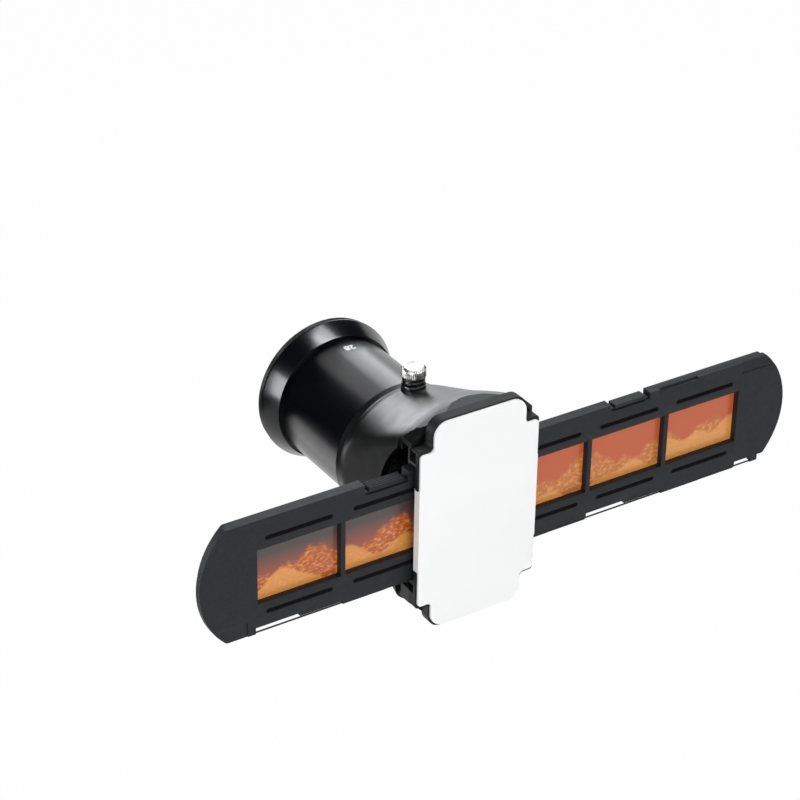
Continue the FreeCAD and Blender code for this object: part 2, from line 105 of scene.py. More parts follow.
# ---- settings -----------------------------------------------------------------
def length(name, description, default):
    return FloatProperty(name=name, description=description, default=default,
                         min=0.0, subtype="DISTANCE", unit="LENGTH", precision=5)


def colour(name, description, default):
    return FloatVectorProperty(name=name, description=description, default=default,
                               size=3, min=0.0, max=1.0, subtype="COLOR")


class DuplicatorSizes(bpy.types.PropertyGroup):
    turned_segments: IntProperty(
        name="Segments round a ring", description="Faces round the rings and the drawtube",
        default=144, min=32)
    hood_edge: length("Hood edge", "Rounding of the hood's edges", 0.0004)
    flank_softness: IntProperty(
        name="Hood flank softness", description="How far the flanks blend into the bell",
        default=30, min=0)
    moulded_edge: length("Moulded edge", "Rounding of the edges of moulded parts", 0.0003)
    holder_edge: length("Holder edge", "Rounding of the edges of the film holder", 0.0002)
    turned_edge: length("Turned edge", "Broken edge of the turned metal parts", 0.00012)
    thread_pitch: length("Thread pitch", "Pitch of the lens thread", 0.00075)
    knob_ridges: IntProperty(
        name="Knob ridges", description="Ridges round the lock screw's head", default=40, min=12)
    perforations: IntProperty(
        name="Perforations in a row", description="Holes along one edge of the film",
        default=48, min=1)
    scale_number: StringProperty(
        name="Scale number", description="Plain number on the drawtube's scale", default="28")
    floor_drop: length("Floor below the object", "Distance from the object to the floor", 0.3)


class DuplicatorColours(bpy.types.PropertyGroup):
    anodised: colour(
        "Anodised", "Adapter ring, drawtube and socket ring", (0.0012, 0.0019, 0.0031))
    hood: colour("Hood", "Moulded hood", (0.0032, 0.0034, 0.0039))
    gate: colour("Gate frame", "Frame round the diffuser", (0.006, 0.0063, 0.0068))
    holder: colour("Holder", "Film holder and its catches", (0.0172, 0.0184, 0.0205))
    opal: colour("Opal", "Diffuser plate", (0.90, 0.905, 0.91))
    film_base: colour("Film base", "Clear edge of the film", (0.16, 0.035, 0.016))
    film_sky: colour("Film, dark part", "Upper part of the pictures", (0.07, 0.055, 0.052))
    film_land: colour("Film, light part", "Lower part of the pictures", (0.5, 0.148, 0.034))
    nickel: colour("Nickel", "Lock screw's head", (0.78, 0.77, 0.75))
    brass: colour("Brass", "Lock screw's stud", (0.70, 0.52, 0.25))
    steel: colour("Steel", "Springs and hinge pin", (0.32, 0.32, 0.33))
    white: colour("White print", "Number on the scale", (0.86, 0.86, 0.84))


# ---- modelling ------------------------------------------------------------------
def clear():
    """Leave edit mode with nothing selected."""
    if bpy.context.mode != "OBJECT":
        bpy.ops.object.mode_set(mode="OBJECT")
    bpy.ops.object.select_all(action="DESELECT")


def take(piece):
    """Select one piece alone and make it active."""
    clear()
    piece.select_set(True)
    bpy.context.view_layer.objects.active = piece


def new_piece(name):
    """Name the primitive that was just added."""
    piece = bpy.context.object
    piece.name = name
    piece.data.name = name
    return piece


def edit(piece, kind="FACE"):
    """Enter edit mode on one piece with nothing selected."""
    take(piece)
    bpy.ops.object.mode_set(mode="EDIT")
    bpy.ops.mesh.select_mode(type=kind)
    bpy.ops.mesh.select_all(action="DESELECT")


def edit_all(piece, kind="FACE"):
    """Enter edit mode on one piece with all of it selected."""
    edit(piece, kind)
    bpy.ops.mesh.select_all(action="SELECT")


def pick(piece, test, kind="FACE"):
    """Select the faces or vertices whose centre passes the test, and stay in edit mode."""
    edit(piece, kind)
    bpy.ops.object.mode_set(mode="OBJECT")
    if kind == "FACE":
        for face in piece.data.polygons:
            face.select = test(face.center)
    else:
        for vertex in piece.data.vertices:
            vertex.select = test(vertex.co)
    bpy.ops.object.mode_set(mode="EDIT")


def modify(piece, kind, **settings):
    """Add a modifier and apply it."""
    take(piece)
    modifier = piece.modifiers.new(kind.title(), kind)
    for key, value in settings.items():
        setattr(modifier, key, value)
    bpy.ops.object.modifier_apply(modifier=modifier.name)


def smooth(piece, degrees=32.0):
    """Shade smooth, apart from edges that are sharper than an angle."""
    take(piece)
    bpy.ops.object.shade_smooth_by_angle(angle=math.radians(degrees))


def bevel(piece, width, degrees, segments=2, **settings):
    """Round the edges that are sharper than an angle."""
    modify(piece, "BEVEL", width=width, segments=segments, limit_method="ANGLE",
           angle_limit=math.radians(degrees), use_clamp_overlap=True, miter_outer="MITER_ARC",
           **settings)


def break_edges(piece, width):
    """Round the sharp edges of a turned piece and shade the rest smooth."""
    bevel(piece, width, 20.0)
    smooth(piece)


def settle(piece):
    """Put a piece's place into its mesh, so that its object sits at the origin."""
    take(piece)
    bpy.ops.object.transform_apply(location=True, rotation=True, scale=True)


def outwards(piece):
    """Merge doubles and turn all the faces outwards."""
    edit_all(piece)
    bpy.ops.mesh.remove_doubles(threshold=1e-7)
    bpy.ops.mesh.normals_make_consistent(inside=False)
    clear()


def turned(name, profile, segments, edge, upright_at=None, solid=False):
    """Closed ring, or solid with flat ends, turned from (radius, place) points in millimetres.

    The axis is the optical axis, or an upright one at that Y.
    """
    upright = upright_at is not None
    centre = Vector((0, upright_at * MM, 0)) if upright else Vector((0, 0, 0))
    along = Vector((0, 0, 1)) if upright else Vector((0, 1, 0))
    first_r, first_at = profile[0]
    clear()
    bpy.ops.mesh.primitive_circle_add(
        vertices=segments, radius=first_r * MM, location=centre + along * first_at * MM,
        rotation=(0, 0, 0) if upright else (math.pi / 2, 0, 0))
    piece = new_piece(name)
    settle(piece)
    edit_all(piece, "EDGE")
    radius, at = first_r, first_at
    for next_r, next_at in profile[1:] + ([] if solid else profile[:1]):
        bpy.ops.mesh.extrude_region_move(
            TRANSFORM_OT_translate={"value": along * (next_at - at) * MM})
        grow = next_r / radius
        spread = (grow, grow, 1) if upright else (grow, 1, grow)
        bpy.ops.transform.resize(value=spread, center_override=centre + along * next_at * MM)
        radius, at = next_r, next_at
    if solid:
        bpy.ops.mesh.select_all(action="SELECT")
        bpy.ops.mesh.fill_holes(sides=0)
    outwards(piece)
    if edge > 0:
        break_edges(piece, edge)
    return piece


def block(name, across, along, up):
    """Box between two places on each axis, in millimetres."""
    clear()
    middle = [(low + high) / 2 * MM for low, high in (across, along, up)]
    bpy.ops.mesh.primitive_cube_add(size=1.0, location=middle)
    piece = new_piece(name)
    piece.scale = [(high - low) * MM for low, high in (across, along, up)]
    settle(piece)
    return piece


def slice_off(piece, at, normal):
    """Cut away what lies beyond an upright plane along the optical axis, and close the cut."""
    edit_all(piece)
    bpy.ops.mesh.bisect(plane_co=(at[0] * MM, 0, at[1] * MM), plane_no=(normal[0], 0, normal[1]),
                        use_fill=True, clear_outer=True)
    clear()


def join(piece, other, operation):
    """Add or cut another piece, or keep the shared part; the other piece is used up."""
    modify(piece, "BOOLEAN", object=other, operation=operation, solver="EXACT")
    bpy.data.objects.remove(other, do_unlink=True)


def attach(piece, part):
    """Lay another closed part into a piece, which keeps both."""
    take(piece)
    part.select_set(True)
    bpy.ops.object.join()


def moulded(name, node, edge):
    """Copy of a node's solid with merged faces and softly rounded edges."""
    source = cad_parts[node]
    mesh = source.data.copy()
    piece = bpy.data.objects.new(name, mesh)
    bpy.context.scene.collection.objects.link(piece)
    mesh.name = name
    mesh.materials.clear()
    edit_all(piece)
    bpy.ops.mesh.remove_doubles(threshold=2e-6)
    bpy.ops.mesh.tris_convert_to_quads(
        face_threshold=math.radians(1), shape_threshold=math.radians(120))
    clear()
    smooth(piece)
    if edge > 0:
        bevel(piece, edge, 30.0, harden_normals=True)
    return piece


def mount(piece, body, slot, material, *nodes):
    """Give a finished piece its material, its body and the nodes that it stands for."""
    clear()
    piece.data.materials.clear()
    piece.data.materials.append(material)
    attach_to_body(piece, body)
    if nodes:
        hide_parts(*nodes)


def finish_node(node, material):
    """Give a node that stays in view its material."""
    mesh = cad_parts[node].data
    mesh.materials.clear()
    mesh.materials.append(material)


# ---- materials --------------------------------------------------------------------
class Finish:
    """A material built from nodes on the object's own coordinates."""

    def __init__(self, name, base, roughness, metallic=0.0, specular=0.5):
        self.material = bpy.data.materials.new(name)
        self.material.use_nodes = True
        self.nodes = self.material.node_tree.nodes
        self.links = self.material.node_tree.links
        self.shader = self.nodes["Principled BSDF"]
        self.base = base
        self.roughness = roughness
        self.shader.inputs["Base Color"].default_value = (*base, 1)
        self.shader.inputs["Roughness"].default_value = roughness
        self.shader.inputs["Metallic"].default_value = metallic
        self.shader.inputs["Specular IOR Level"].default_value = specular
        self.coordinates = self.nodes.new("ShaderNodeTexCoord")
        self.normal = None

    def place(self, scale=(1, 1, 1)):
        """Object coordinates, stretched along an axis where the scale there is below one."""
        mapping = self.nodes.new("ShaderNodeMapping")
        mapping.inputs["Scale"].default_value = scale
        self.links.new(self.coordinates.outputs["Object"], mapping.inputs["Vector"])
        return mapping.outputs["Vector"]

    def noise(self, scale, detail=3.0, stretch=(1, 1, 1)):
        texture = self.nodes.new("ShaderNodeTexNoise")
        texture.inputs["Scale"].default_value = scale
        texture.inputs["Detail"].default_value = detail
        self.links.new(self.place(stretch), texture.inputs["Vector"])
        return texture.outputs["Fac"]

    def spread(self, value, low, high, start=0.3, end=0.7):
        """Run from `low` to `high` while the value goes from `start` to `end`."""
        ranged = self.nodes.new("ShaderNodeMapRange")
        ranged.inputs["From Min"].default_value = start
        ranged.inputs["From Max"].default_value = end
        ranged.inputs["To Min"].default_value = low
        ranged.inputs["To Max"].default_value = high
        self.links.new(value, ranged.inputs["Value"])
        return ranged.outputs["Result"]

    def bump(self, height, depth):
        """Relief of `depth` metres, added to any relief before it."""
        node = self.nodes.new("ShaderNodeBump")
        node.inputs["Distance"].default_value = depth
        node.inputs["Strength"].default_value = 1.0
        self.links.new(height, node.inputs["Height"])
        if self.normal:
            self.links.new(self.normal, node.inputs["Normal"])
        self.normal = node.outputs["Normal"]
        self.links.new(self.normal, self.shader.inputs["Normal"])

    def grain(self, size, depth):
        """Fine moulded grain."""
        self.bump(self.noise(1.0 / size, 2.0), depth)

    def rings(self, pitch, depth, axis="Y"):
        """Fine tool marks round a turned part."""
        wave = self.nodes.new("ShaderNodeTexWave")
        wave.bands_direction = axis
        phase_rate = 20.0  # radians per unit in a wave texture of scale one
        wave.inputs["Scale"].default_value = math.tau / (phase_rate * pitch)
        wave.inputs["Distortion"].default_value = 0.6
        self.links.new(self.place(), wave.inputs["Vector"])
        self.bump(wave.outputs["Fac"], depth)

    def uneven(self, size, share):
        """Roughness that varies a little from place to place."""
        low = self.roughness * (1 - share)
        high = min(1.0, self.roughness * (1 + share))
        self.links.new(self.spread(self.noise(1.0 / size), low, high),
                       self.shader.inputs["Roughness"])

    def mottled(self, size, share):
        """Colour that is a little lighter or darker from place to place."""
        mix = self.nodes.new("ShaderNodeMix")
        mix.data_type = "RGBA"
        mix.inputs["A"].default_value = (*[c * (1 - share) for c in self.base], 1)
        mix.inputs["B"].default_value = (*[min(1.0, c * (1 + share)) for c in self.base], 1)
        self.links.new(self.spread(self.noise(1.0 / size), 0.0, 1.0), mix.inputs["Factor"])
        self.links.new(mix.outputs["Result"], self.shader.inputs["Base Color"])


def colours():
    return bpy.context.scene.duplicator_colours


def sizes():
    return bpy.context.scene.duplicator_sizes


def once(name):
    """Build a material when it is first asked for, and hand the same one out after that."""
    def keep(build):
        def get():
            return bpy.data.materials.get(name) or build(name)
        return get
    return keep


@once("satin_black_anodised")
def anodised(name):
    finish = Finish(name, colours().anodised, 0.21, specular=0.3)
    finish.uneven(0.006, 0.05)
    finish.mottled(0.02, 0.1)
    finish.rings(0.0004, 0.0000004)
    finish.grain(0.00012, 0.0000004)
    return finish.material


@once("satin_hood_plastic")
def hood_plastic(name):
    finish = Finish(name, colours().hood, 0.31, specular=0.3)
    finish.uneven(0.005, 0.08)
    finish.mottled(0.012, 0.12)
    finish.grain(0.00022, 0.0000006)
    return finish.material


@once("satin_gate_plastic")
def gate_plastic(name):
    finish = Finish(name, colours().gate, 0.5, specular=0.2)
    finish.uneven(0.004, 0.15)
    finish.grain(0.0002, 0.000005)
    return finish.material


@once("charcoal_holder_plastic")
def holder_plastic(name):
    finish = Finish(name, colours().holder, 0.5, specular=0.16)
    finish.uneven(0.004, 0.14)
    finish.mottled(0.0015, 0.12)
    finish.grain(0.00018, 0.000010)
    return finish.material


@once("matt_rail_plastic")
def rail_plastic(name):
    finish = Finish(name, (0.014, 0.014, 0.014), 0.6, specular=0.4)
    finish.mottled(0.004, 0.2)
    finish.grain(0.0002, 0.000008)
    return finish.material


@once("matt_black_paint")
def matt_paint(name):
    finish = Finish(name, (0.008, 0.008, 0.008), 0.8, specular=0.3)
    finish.mottled(0.003, 0.2)
    finish.grain(0.0003, 0.000015)
    return finish.material


@once("opal_plastic")
def opal_plastic(name):
    finish = Finish(name, colours().opal, 0.42, specular=0.4)
    finish.shader.inputs["Subsurface Weight"].default_value = 0.25
    finish.shader.inputs["Subsurface Radius"].default_value = (1.0, 1.0, 1.0)
    finish.shader.inputs["Subsurface Scale"].default_value = 0.0012
    finish.mottled(0.03, 0.012)
    finish.uneven(0.01, 0.1)
    finish.grain(0.0006, 0.000002)
    return finish.material


@once("bright_nickel")
def nickel(name):
    finish = Finish(name, colours().nickel, 0.24, metallic=1.0)
    finish.uneven(0.002, 0.3)
    finish.mottled(0.003, 0.05)
    finish.grain(0.00008, 0.0000015)
    return finish.material


@once("turned_brass")
def brass(name):
    finish = Finish(name, colours().brass, 0.3, metallic=1.0)
    finish.mottled(0.002, 0.12)
    finish.rings(0.0002, 0.000002, "Z")
    return finish.material


@once("gloss_black_collar")
def black_gloss(name):
    finish = Finish(name, (0.008, 0.008, 0.009), 0.22, specular=0.5)
    finish.uneven(0.003, 0.2)
    finish.rings(0.0003, 0.000002, "Z")
    return finish.material


@once("spring_steel_strip")
def spring_steel(name):
    finish = Finish(name, colours().steel, 0.32, metallic=1.0)
    finish.mottled(0.003, 0.15)
    finish.bump(finish.noise(1.0 / 0.0003, 3.0, (0.05, 1, 1)), 0.000002)
    return finish.material


@once("blackened_steel")
def black_steel(name):
    finish = Finish(name, (0.03, 0.03, 0.032), 0.38, metallic=0.6)
    finish.mottled(0.001, 0.3)
    finish.grain(0.0001, 0.000002)
    return finish.material


@once("natural_pad_plastic")
def pad_plastic(name):
    finish = Finish(name, (0.75, 0.73, 0.68), 0.5)
    finish.mottled(0.001, 0.05)
    finish.grain(0.0002, 0.000004)
    return finish.material


@once("white_print")
def white_print(name):
    finish = Finish(name, colours().white, 0.55)
    finish.mottled(0.0006, 0.06)
    finish.grain(0.0001, 0.000003)
    return finish.material


class Film(Finish):
    """Orange-masked negative: six procedural landscapes between clear edges."""

    def math(self, operation, a, b=0.0):
        """Result of one operation on two numbers or sockets."""
        node = self.nodes.new("ShaderNodeMath")
        node.operation = operation
        for socket, value in zip(node.inputs, (a, b)):
            if isinstance(value, (int, float)):
                socket.default_value = value
            else:
                self.links.new(value, socket)
        return node.outputs["Value"]

    def blend(self, factor, a, b):
        """Colour that runs from the first to the second as the factor goes from 0 to 1."""
        node = self.nodes.new("ShaderNodeMix")
        node.data_type = "RGBA"
        self.links.new(factor, node.inputs["Factor"])
        for socket, value in ((node.inputs["A"], a), (node.inputs["B"], b)):
            if isinstance(value, tuple):
                socket.default_value = (*value, 1)
            else:
                self.links.new(value, socket)
        return node.outputs["Result"]

    def clouds(self, number, scale, detail, across, up=None):
        """Noise that differs from one picture to the next, and only runs across without `up`."""
        apart = 7.31
        joined = self.nodes.new("ShaderNodeCombineXYZ")
        self.links.new(across, joined.inputs["X"])
        if up:
            self.links.new(up, joined.inputs["Y"])
        self.links.new(self.math("MULTIPLY", number, apart), joined.inputs["Z"])
        texture = self.nodes.new("ShaderNodeTexNoise")
        texture.inputs["Scale"].default_value = scale
        texture.inputs["Detail"].default_value = detail
        self.links.new(joined.outputs["Vector"], texture.inputs["Vector"])
        return texture.outputs["Fac"]

    def below(self, up, line, gain, drop, softness):
        """One under a wavy line across the picture, and zero above it."""
        wave = self.math("SUBTRACT", self.math("MULTIPLY", line, gain), drop)
        low, high = softness
        return self.spread(self.math("SUBTRACT", up, wave), 1.0, 0.0, low, high)

    def pictures(self, sky, land):
        """Pictures of a sky over land with a near hill, in clear film."""
        glow = tuple(min(1.0, c * f) for c, f in zip(land, (1.5, 2.2, 2.4)))
        dusk = tuple(c * f for c, f in zip(sky, (4.4, 1.4, 0.85)))
        deep = tuple(c * f for c, f in zip(land, (0.85, 0.6, 0.65)))
        red = tuple(c * f for c, f in zip(land, (1.0, 0.68, 0.95)))
        axes = self.nodes.new("ShaderNodeSeparateXYZ")
        self.links.new(self.coordinates.outputs["Object"], axes.inputs["Vector"])
        from_left = self.math("SUBTRACT", axes.outputs["X"], STRIP_LEFT * MM)
        strip = self.math("DIVIDE", from_left, FRAME_PITCH * MM)
        number = self.math("FLOOR", strip)
        across = self.math("SUBTRACT", strip, number)
        up = self.math("DIVIDE", axes.outputs["Z"], PICTURE_HEIGHT * MM)
        ridge = self.clouds(number, 2.2, 3.0, across)
        hill = self.clouds(number, 1.4, 1.0, self.math("ADD", across, 3.7))
        specks = self.clouds(number, 20.0, 6.0, across, up)
        late = self.spread(number, 0.0, 1.0, 2.4, 2.6)
        sky_colour = self.blend(self.spread(up, 1.0, 0.0, -0.1, 0.3), sky, dusk)
        sky_colour = self.blend(late, sky_colour, red)
        land_colour = self.blend(late, deep, land)
        land_colour = self.blend(self.spread(specks, 0.0, 1.0, 0.46, 0.72), land_colour, glow)
        land_mask = self.below(up, ridge, 1.5, 0.78, (-0.06, 0.05))
        picture = self.blend(land_mask, sky_colour, land_colour)
        near_mask = self.below(up, hill, 1.7, 1.12, (-0.03, 0.03))
        picture = self.blend(self.math("MULTIPLY", near_mask, 0.75), picture, glow)
        border = 0.2
        edge_x = self.math("ABSOLUTE", self.math("SUBTRACT", across, 0.5))
        in_x = self.math("LESS_THAN", edge_x, (PICTURE_WIDTH / 2 + border) / FRAME_PITCH)
        in_z = self.math("LESS_THAN", self.math("ABSOLUTE", up),
                         (PICTURE_HEIGHT / 2 + border) / PICTURE_HEIGHT)
        inside = self.math("MULTIPLY", in_x, in_z)
        self.links.new(self.blend(inside, self.base, picture), self.shader.inputs["Base Color"])


@once("colour_negative")
def film_stock(name):
    film = Film(name, tuple(colours().film_base), 0.22, specular=0.5)
    film.pictures(tuple(colours().film_sky), tuple(colours().film_land))
    film.uneven(0.004, 0.2)
    film.bump(film.noise(1.0 / 0.02, 1.0), 0.00004)
    return film.material


# ---- pieces ---------------------------------------------------------------------
class DUPLICATOR_OT_adapter_ring(bpy.types.Operator):
    """Turn the conical adapter ring with its lens thread"""

    bl_idname = "duplicator.adapter_ring"
    bl_label = "Adapter ring"

    def execute(self, context):
        pitch = sizes().thread_pitch / MM
        thread_end, crest, root = 3.0, 31.0, 30.62
        recess_r, recess_floor = 27.9, -6.35
        thread = [(30.7, thread_end)]
        for turn in range(int(2.7 / pitch)):
            at = 2.75 - turn * pitch
            thread += [(crest, at), (crest, at - 0.15 * pitch), (root, at - 0.5 * pitch),
                       (root, at - 0.65 * pitch)]
        shoulder = [(root, 0.05), (31.2, 0.0), (31.5, 0.0)]
        cone = [(31.42, -0.8), (28.32, -8.05), (28.08, -8.7)]
        recess = [(recess_r, -8.7), (recess_r, recess_floor), (TUBE_R, recess_floor)]
        profile = [(TUBE_R, thread_end)] + thread + shoulder + cone + recess
        ring = turned("adapter_ring_turned", profile, sizes().turned_segments, sizes().turned_edge)
        mount(ring, "lens_side", "anodised", anodised(), "adapter_ring")
        return {"FINISHED"}


class DUPLICATOR_OT_drawtube(bpy.types.Operator):
    """Turn the drawtube with its baffled bore"""

    bl_idname = "duplicator.drawtube"
    bl_label = "Drawtube"

    def execute(self, context):
        bore = 25.45
        front = FILM_FACE + 31.0
        rear = 2.5
        lip_end, lip_r = front + 1.2, TUBE_R + 0.4
        profile = [(bore, rear), (TUBE_R, rear), (TUBE_R, lip_end), (lip_r, lip_end),
                   (lip_r, front), (bore, front)]
        baffle, depth, gap = 1.6, 0.25, 0.01
        at = front + 1.5
        while at + baffle < rear - 1.0:
            profile += [(bore, at), (bore + depth, at + 0.2), (bore, at + baffle)]
            at += baffle + gap
        tube = turned("drawtube_turned", profile, sizes().turned_segments, sizes().turned_edge)
        mount(tube, "lens_side", "anodised", anodised(), "drawtube")
        return {"FINISHED"}


class DUPLICATOR_OT_scale_number(bpy.types.Operator):
    """Print the scale number on top of the drawtube"""

    bl_idname = "duplicator.scale_number"
    bl_label = "Scale number"

    def execute(self, context):
        wide, tall = 4.7, 3.6
        across, along = 1.0, FILM_FACE + 90.1
        ink = 0.03
        clear()
        bpy.ops.object.text_add(location=(0, 0, 0))
        piece = bpy.context.object
        piece.name = "scale_number"
        piece.data.body = sizes().scale_number
        piece.data.size = 1.0
        piece.data.offset = 0.04
        piece.data.align_x = "CENTER"
        piece.data.align_y = "CENTER"
        take(piece)
        bpy.ops.object.convert(target="MESH")
        piece = bpy.context.object
        piece.scale = (wide * MM / piece.dimensions.x, tall * MM / piece.dimensions.y, 1.0)
        piece.rotation_euler = (0, 0, math.pi)
        settle(piece)
        low = [min(v.co[i] for v in piece.data.vertices) for i in range(2)]
        high = [max(v.co[i] for v in piece.data.vertices) for i in range(2)]
        piece.location = (across * MM - (low[0] + high[0]) / 2,
                          along * MM - (low[1] + high[1]) / 2, (TUBE_R + 0.3) * MM)
        settle(piece)
        edit_all(piece)
        bpy.ops.mesh.remove_doubles(threshold=1e-6)
        bpy.ops.mesh.subdivide(number_cuts=3)
        clear()
        tube = bpy.data.objects["drawtube_turned"]
        modify(piece, "SHRINKWRAP", target=tube, wrap_method="PROJECT", use_project_z=True,
               use_negative_direction=True, use_positive_direction=False, offset=0.01 * MM)
        modify(piece, "SOLIDIFY", thickness=ink * MM, offset=1.0)
        mount(piece, "lens_side", "anodised", white_print())
        return {"FINISHED"}


class DUPLICATOR_OT_socket_ring(bpy.types.Operator):
    """Turn the chamfered ring in the socket's mouth"""

    bl_idname = "duplicator.socket_ring"
    bl_label = "Socket ring"

    def execute(self, context):
        front = FILM_FACE + 51.1
        rear = FILM_FACE + 52.85
        bore, outside = TUBE_R + 0.25, TUBE_R + 1.1
        profile = [(bore, front), (outside, front), (outside, rear - 0.4), (TUBE_R + 0.7, rear),
                   (TUBE_R + 0.4, rear), (bore, rear - 0.15)]
        ring = turned("socket_ring_turned", profile, sizes().turned_segments, sizes().turned_edge)
        mount(ring, "hood", "anodised", anodised(), "socket_ring")
        return {"FINISHED"}


class DUPLICATOR_OT_hood(bpy.types.Operator):
    """Model the moulded hood: turned bell with flat flanks, gate box and side arches"""

    bl_idname = "duplicator.hood"
    bl_label = "Hood"

    # The bell's (radius, distance behind the film face), and the half width of its flat flanks.
    shape = [(28.7, 49.35), (28.85, 48.7), (29.35, 47.6), (30.2, 46.2), (31.15, 44.6),
             (32.3, 41.8), (34.2, 36.5), (36.15, 31.0), (38.0, 26.0), (39.5, 22.0),
             (40.85, 18.7), (42.4, 15.2), (44.1, 11.4), (45.75, 7.4), (47.05, 3.5), (48.1, -0.5)]
    flank = 28.75
    # The gate box's half width and half height, and what its upper and lower corners lose.
    box_outside = (27.5, 46.5, 9.4, 11.7)
    box_inside = (25.5, 44.5, 8.2, 10.5)

    def execute(self, context):
        mouth_edge = [(28.5, 52.35), (28.7, 52.15)]
        hood = self.solid("hood_moulded", mouth_edge + self.fine(self.shape, 1.3))
        self.flatten(hood)
        self.gate_rim(hood)
        self.hollow(hood)
        self.side_openings(hood)
        self.screw_seat(hood)
        self.bulkhead(hood)
        self.screw_bosses(hood)
        outwards(hood)
        smooth(hood, 38.0)
        bevel(hood, sizes().hood_edge, 38.0, segments=3)
        modify(hood, "WEIGHTED_NORMAL", keep_sharp=True, weight=60)
        mount(hood, "hood", "hood_plastic", hood_plastic(), "housing")
        return {"FINISHED"}

    def solid(self, name, profile):
        """Solid turned about the optical axis from distances behind the film face."""
        placed = [(radius, FILM_FACE + at) for radius, at in profile]
        return turned(name, placed, 2 * sizes().turned_segments, 0, solid=True)

    def gate_rim(self, hood):
        """Cut the front of the bell to the gate box's octagon."""
        beyond = 60
        rim = block("rim", (-beyond, beyond), (FILM_FACE - 2, FILM_FACE + 7.4), (-beyond, beyond))
        mouth = block("mouth", (-40, 40), (FILM_FACE - 3, FILM_FACE + 9), (-beyond, beyond))
        self.trim(mouth, *self.box_outside)
        join(rim, mouth, "DIFFERENCE")
        join(hood, rim, "DIFFERENCE")

    def hollow(self, hood):
        """Cut the space behind the gate, the socket's bore and the recess for its ring."""
        wall = 2.16
        inside = [(32.35, 35.7)] + [(r - wall, at) for r, at in self.shape if at < 35.0]
        space = self.solid("space", inside + [(46.1, -1.0)])
        self.trim(space, *self.box_inside)
        join(hood, space, "DIFFERENCE")
        bore = self.solid("bore", [(27.5, 10.5), (27.5, 54.0)])
        join(hood, bore, "DIFFERENCE")
        recess = self.solid("recess", [(28.05, 51.1), (28.05, 55.0)])
        join(hood, recess, "DIFFERENCE")

    def flatten(self, hood):
        """Press both flanks flat and soften the line where they meet the bell."""
        flank = self.flank * MM
        blend = 5.0 * MM
        front, rear = (FILM_FACE - 0.4) * MM, (FILM_FACE + 49.3) * MM
        for side in (-1, 1):
            pick(hood, lambda c: c.x * side > flank, "VERT")
            bpy.ops.transform.resize(value=(0, 1, 1), center_override=(side * flank, 0, 0))
        pick(hood, lambda c: abs(c.x) > flank - blend and front < c.y < rear, "VERT")
        bpy.ops.mesh.vertices_smooth(factor=0.5, repeat=sizes().flank_softness, xaxis=True,
                                     yaxis=False, zaxis=False)
        clear()

    def fine(self, profile, step):
        """Profile with more points, at most `step` apart."""
        points = profile[:1]
        for (r0, at0), (r1, at1) in zip(profile, profile[1:]):
            count = math.ceil((at0 - at1) / step)
            points += [(r0 + (r1 - r0) * k / count, at0 + (at1 - at0) * k / count)
                       for k in range(1, count + 1)]
        return points

    def trim(self, piece, half_width, half_height, top_cut, low_cut):
        """Cut a piece to an upright octagon with flat sides."""
        for side in (-1, 1):
            slice_off(piece, (side * half_width, 0), (side, 0))
            slice_off(piece, (0, side * half_height), (0, side))
            slice_off(piece, (side * half_width, half_height - top_cut), (side, 1))
            slice_off(piece, (side * half_width, low_cut - half_height), (side, -1))

    def bulkhead(self, hood):
        """Strips across the inside, above and below the opening, that carry the aperture plate."""
        half_width, opening, beyond, end_r = 26.6, 30.5, 50.0, 44.5
        for side in (-1, 1):
            strip = block("strip", (-half_width, half_width), (FILM_FACE + 7.2, FILM_FACE + 8.2),
                          sorted((side * opening, side * beyond)))
            for angle in range(40, 141, 10):
                turn = math.radians(angle)
                normal = (math.cos(turn), side * math.sin(turn))
                slice_off(strip, (end_r * normal[0], end_r * normal[1]), normal)
            attach(hood, strip)

    def screw_bosses(self, hood):
        """Bosses along the inner wall that take the gate frame's screws."""
        across, up = 14.5, 41.0
        radius, long, middle = 2.4, 6.5, FILM_FACE + 2.8
        for x, z in ((-across, -up), (across, -up), (-across, up), (across, up)):
            clear()
            bpy.ops.mesh.primitive_cylinder_add(
                vertices=32, radius=radius * MM, depth=long * MM, rotation=(math.pi / 2, 0, 0),
                location=(x * MM, middle * MM, z * MM))
            boss = new_piece("boss")
            settle(boss)
            attach(hood, boss)

    def screw_seat(self, hood):
        """Spot-faced seat on the roof for the lock screw's bush."""
        seat_r, spot_r, top = 5.0, 5.02, 33.4
        seat = turned("seat", [(seat_r, 29.0), (seat_r, top)], 64, 0, SCREW_Y, solid=True)
        join(hood, seat, "UNION")
        spot = turned("spot", [(spot_r, top), (spot_r, 37.0)], 64, 0, SCREW_Y, solid=True)
        join(hood, spot, "DIFFERENCE")
        pad_r, bush_r, bush_foot = 2.3, 3.21, 31.3
        hole = [(pad_r, 24.0), (pad_r, bush_foot), (bush_r, bush_foot), (bush_r, 34.0)]
        join(hood, turned("hole", hole, 40, 0, SCREW_Y, solid=True), "DIFFERENCE")

    def side_openings(self, hood):
        """Slot for the film holder that runs back in a tall arch, in both flanks."""
        top, slot_foot = 34.7, -28.5
        inner, outer = 15.0, 40.0
        arch_r, arch_centre = 44.2, FILM_FACE - 23.3
        for side in (-1, 1):
            across = sorted((side * inner, side * outer))
            slot = block("slot", across, (FILM_FACE - 3.7, FILM_FACE + 5.6), (slot_foot, top))
            join(hood, slot, "DIFFERENCE")
            clear()
            bpy.ops.mesh.primitive_cylinder_add(
                vertices=192, radius=arch_r * MM, depth=(outer - inner) * MM,
                rotation=(0, math.pi / 2, 0),
                location=(side * (inner + outer) / 2 * MM, arch_centre * MM, 0))
            arch = new_piece("arch")
            settle(arch)
            window = block("window", across, (FILM_FACE + 5.5, FILM_FACE + 30), (-top, top))
            join(arch, window, "INTERSECT")
            join(hood, arch, "DIFFERENCE")


